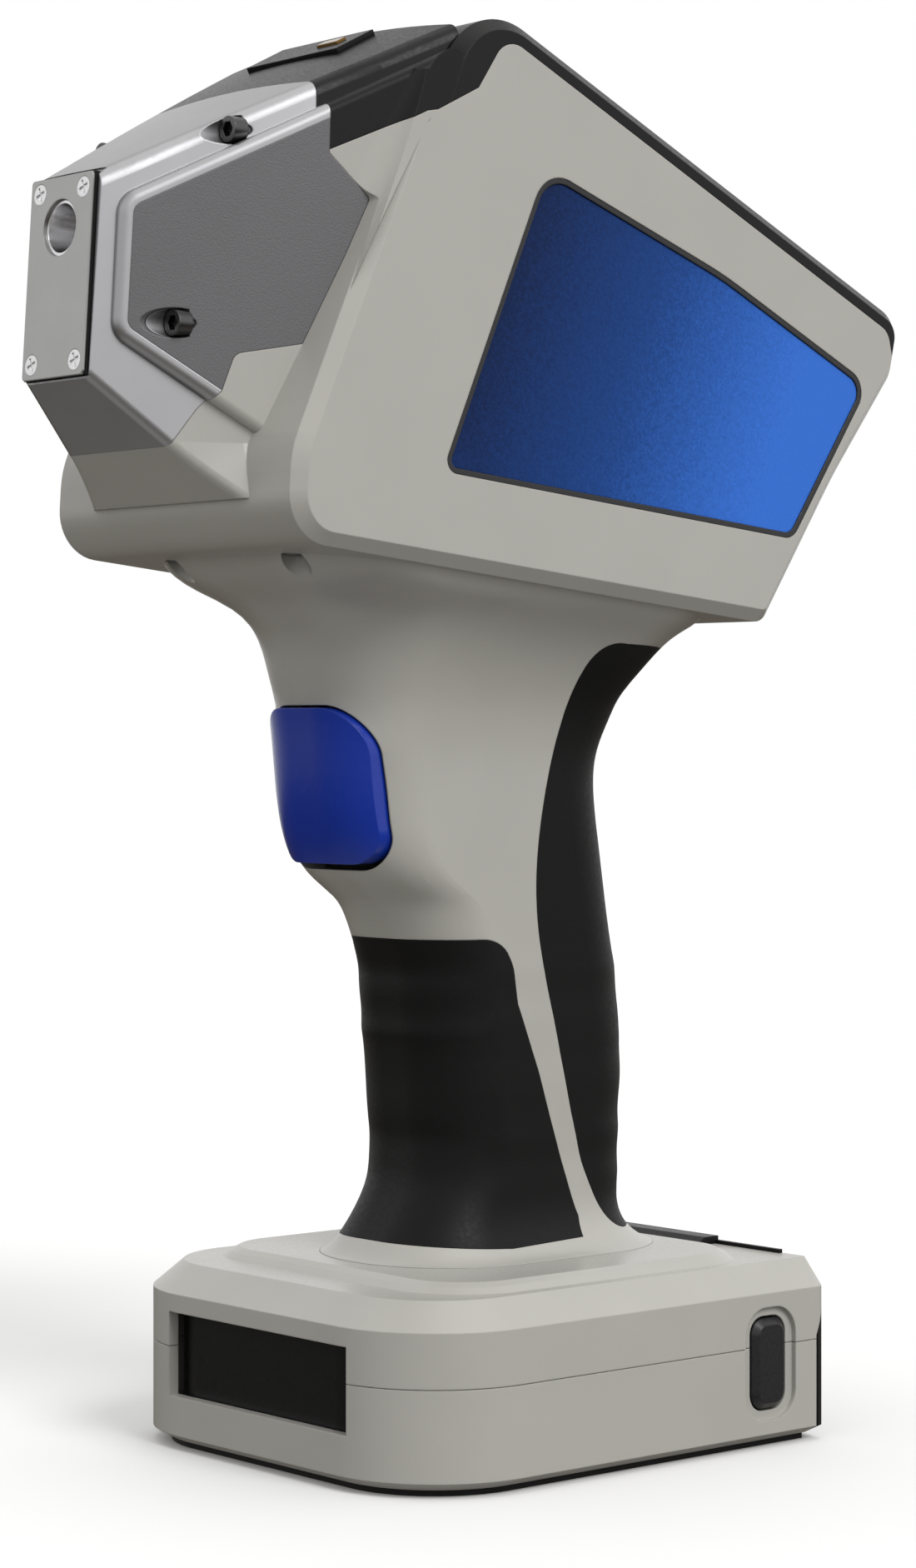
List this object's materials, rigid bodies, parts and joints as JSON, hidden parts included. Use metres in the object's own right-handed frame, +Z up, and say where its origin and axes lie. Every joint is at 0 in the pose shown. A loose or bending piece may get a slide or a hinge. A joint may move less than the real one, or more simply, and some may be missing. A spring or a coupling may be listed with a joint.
{
  "type": "handheld xrf analyzer",
  "caption": "Handheld X-ray fluorescence analyzer: tapered metal measuring nose, sloped display head, pistol grip with trigger, and a flat base holding a removable battery.",
  "frame": {"origin": "centre of the base's underside, where the analyzer stands", "axes": "+Z up, -Y towards the tip of the measuring nose, +X towards the left hand of the person who holds it, which is the right hand side when the nose faces the viewer"},
  "size_m": [0.0972, 0.1827, 0.2705],
  "materials": {
    "grey_plastic": "satin",
    "black_plastic": "matte",
    "grip_rubber": "matte",
    "trigger_blue": "gloss",
    "latch_black": "satin",
    "casting": "satin",
    "inlay": "fine texture",
    "plate": "satin, dark anodised",
    "steel": "brushed",
    "dark_steel": "satin",
    "gasket": "matte",
    "collimator": "bright",
    "film": "gloss film",
    "glass": "gloss",
    "display": "gloss",
    "board": "solder mask",
    "label_blue": "printed satin",
    "label_rim": "gloss",
    "battery": "matte",
    "contact": "bright",
    "inner_metal": "plain",
    "lens": "clear gloss",
    "wire": "matte"
  },
  "bodies": {
    "analyzer": {"main_housing": "grey_plastic", "base_upper_shell": "grey_plastic", "base_lower_shell": "grey_plastic", "sole_pad": "gasket", "battery_contacts": "contact", "latch_spring_left": "steel", "latch_spring_right": "steel", "base_screws": "dark_steel", "foot_screws": "dark_steel", "under_screws": "dark_steel", "front_grip": "grip_rubber", "rear_grip": "grip_rubber", "trigger_pin": "steel", "trigger_switch": "black_plastic", "nose_cover": "casting", "nose_panel_left": "inlay", "nose_panel_right": "inlay", "nose_plate": "plate", "nose_gasket": "gasket", "plate_screws": "steel", "nose_screws": "dark_steel", "collimator": "collimator", "window_film": "film", "top_cover": "black_plastic", "lamp_plate": "black_plastic", "lamp_lens": "lens", "display_bezel": "black_plastic", "display_glass": "glass", "display_module": "display", "main_board": "board", "label_panel_left": "label_blue", "label_panel_right": "label_blue", "label_trim_left": "label_rim", "label_trim_right": "label_rim", "chassis": "inner_metal", "xray_tube": "steel", "detector": "steel", "hv_supply": "black_plastic", "handle_loom": "wire"},
    "trigger_body": {"trigger": "trigger_blue"},
    "battery_body": {"battery_pack": "battery", "battery_cap": "black_plastic"},
    "latch_left": {"latch_button_left": "latch_black"},
    "latch_right": {"latch_button_right": "latch_black"},
    "power_key": {"power_button": "latch_black"}
  },
  "joints": [
    {"name": "trigger_pull", "type": "hinge", "parent": "analyzer", "child": "trigger_body", "pos_m": [0, -0.031, 0.1378], "axis": [1, 0, 0], "range_deg": [0, 3], "stiffness_Nm_per_rad": 1.2},
    {"name": "battery_slide", "type": "slide", "parent": "analyzer", "child": "battery_body", "axis": [0, 1, 0], "range_m": [0, 0.11]},
    {"name": "latch_left_press", "type": "slide", "parent": "analyzer", "child": "latch_left", "axis": [1, 0, 0], "range_m": [0, 0.002], "stiffness_N_per_m": 900, "deforming": ["latch_spring_left"]},
    {"name": "latch_right_press", "type": "slide", "parent": "analyzer", "child": "latch_right", "axis": [-1, 0, 0], "range_m": [0, 0.002], "stiffness_N_per_m": 900, "deforming": ["latch_spring_right"]},
    {"name": "power_press", "type": "slide", "parent": "analyzer", "child": "power_key", "axis": [0, -0.4163, -0.9092], "range_m": [0, 0.0004], "stiffness_N_per_m": 900}
  ]
}
